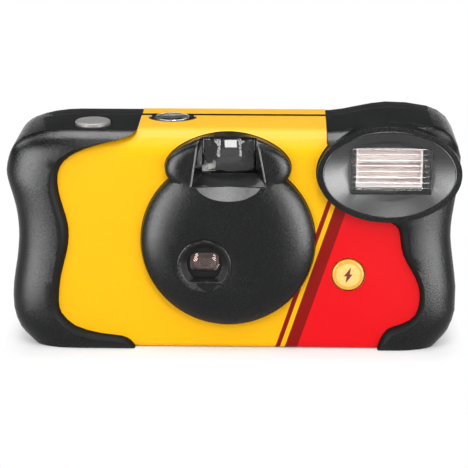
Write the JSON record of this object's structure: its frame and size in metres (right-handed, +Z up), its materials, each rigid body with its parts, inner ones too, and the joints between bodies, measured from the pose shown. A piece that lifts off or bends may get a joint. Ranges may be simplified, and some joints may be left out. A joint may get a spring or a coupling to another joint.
{
  "type": "disposable film camera",
  "caption": "Single-use film camera with built-in flash, wavy black grips, printed paper label, domed lens panel, viewfinder, thumbwheel film advance and a shutter mechanism inside.",
  "frame": {"origin": "on the flat base, under the middle of the body width and near the middle of its depth", "axes": "+X to the right seen from the front, the lens looks along -Y, +Z up"},
  "size_m": [0.1203, 0.0364, 0.0625],
  "materials": {
    "black_plastic": "fine spark-eroded texture",
    "label_paper": "gloss varnished print",
    "frame_plastic": "smooth moulded",
    "silver_plastic": "silver-grey moulded",
    "clear_plastic": "clear moulded acrylic",
    "lens_plastic": "polished",
    "white_plastic": "natural acetal",
    "cartridge_metal": "lacquered tin",
    "film": "film base",
    "spring_steel": "drawn wire",
    "bright_metal": "bright reflector sheet",
    "board": "paper laminate board",
    "board_parts": "moulded part bodies",
    "black_sleeve": "shrink sleeve",
    "winding": "taped copper winding",
    "amber_clear": "amber tinted",
    "cream_plastic": "cream moulded",
    "contact_brass": "stamped strip",
    "cell_sleeve": "cell jacket"
  },
  "bodies": {
    "casing": {"front_cover": "black_plastic", "rear_cover": "black_plastic", "front_label": "label_paper", "rear_label": "label_paper", "main_frame": "frame_plastic", "counter_window": "clear_plastic", "cartridge_shell": "cartridge_metal", "cartridge_caps": "cartridge_metal", "film_strip": "film", "kicker_spring": "spring_steel", "shutter_spring": "spring_steel", "lens_mount": "frame_plastic", "aperture_disc": "frame_plastic", "taking_lens": "lens_plastic", "lens_retainer": "frame_plastic", "viewfinder_lens": "clear_plastic", "eyepiece_lens": "clear_plastic", "flash_window": "clear_plastic", "flash_reflector": "bright_metal", "flash_tube": "lens_plastic", "circuit_board": "board", "flash_capacitor": "black_sleeve", "transformer": "winding", "trigger_coil": "winding", "board_parts": "board_parts", "ready_lamp": "amber_clear", "light_pipe": "amber_clear", "flash_switch": "contact_brass", "sync_contact": "contact_brass", "battery": "cell_sleeve", "battery_terminal": "spring_steel", "positive_contact": "contact_brass", "negative_contact": "contact_brass"},
    "button": {"shutter_button": "silver_plastic"},
    "winder": {"thumbwheel": "frame_plastic", "cartridge_spool": "frame_plastic"},
    "sprocket": {"sprocket": "white_plastic"},
    "counter": {"counter_wheel": "white_plastic"},
    "supply": {"film_roll": "film", "supply_spool": "frame_plastic"},
    "kicker": {"kicker_lever": "white_plastic"},
    "release": {"release_lever": "frame_plastic"},
    "blade": {"shutter_blade": "frame_plastic"},
    "flash_press": {"flash_button": "cream_plastic"},
    "door": {"film_door": "black_plastic"}
  },
  "joints": [
    {"name": "shutter_button_press", "type": "slide", "parent": "casing", "child": "button", "axis": [0, 0, -1], "range_m": [0, 0.0011], "stiffness_N_per_m": 600, "springref_m": -0.0005},
    {"name": "thumbwheel_turn", "type": "hinge", "parent": "casing", "child": "winder", "pos_m": [-0.0429, 0.0025, 0.0475], "axis": [0, 0, 1], "continuous": true},
    {"name": "sprocket_turn", "type": "hinge", "parent": "casing", "child": "sprocket", "pos_m": [-0.0236, 0.00565, 0.0387], "axis": [0, 0, 1], "continuous": true},
    {"name": "counter_turn", "type": "hinge", "parent": "casing", "child": "counter", "pos_m": [-0.0154, 0.0022, 0.057], "axis": [0, 0, 1], "continuous": true},
    {"name": "film_roll_turn", "type": "hinge", "parent": "casing", "child": "supply", "pos_m": [0.0335, 0.00385, 0.0247], "axis": [0, 0, 1], "continuous": true},
    {"name": "kicker_swing", "type": "hinge", "parent": "casing", "child": "kicker", "pos_m": [-0.008, -0.003, 0.047], "axis": [0, 0, 1], "range_deg": [0, 32], "stiffness_Nm_per_rad": 0.0004, "springref_deg": -5.73},
    {"name": "release_lever_tilt", "type": "hinge", "parent": "casing", "child": "release", "pos_m": [-0.0267, -0.0049, 0.0542], "axis": [0, -1, 0], "range_deg": [0, 6.2]},
    {"name": "shutter_blade_swing", "type": "hinge", "parent": "casing", "child": "blade", "pos_m": [-0.0074, -0.0122, 0.0357], "axis": [0, 1, 0], "range_deg": [0, 24.5]},
    {"name": "flash_button_press", "type": "slide", "parent": "casing", "child": "flash_press", "axis": [0, 1, 0], "range_m": [0, 0.0008], "stiffness_N_per_m": 600, "springref_m": -0.0005},
    {"name": "film_door_swing", "type": "hinge", "parent": "casing", "child": "door", "pos_m": [-0.0292, 0, 0.0007], "axis": [0, -1, 0], "range_deg": [0, 95]}
  ],
  "couplings": [
    {"joint": "sprocket_turn", "follows": "thumbwheel_turn", "ratio": 1.0578},
    {"joint": "counter_turn", "follows": "thumbwheel_turn", "ratio": -0.035262},
    {"joint": "film_roll_turn", "follows": "thumbwheel_turn", "ratio": 0.83117},
    {"joint": "shutter_blade_swing", "follows": "kicker_swing", "ratio": 0.75},
    {"joint": "release_lever_tilt", "follows": "shutter_button_press", "rad_per_m": 92.6}
  ]
}
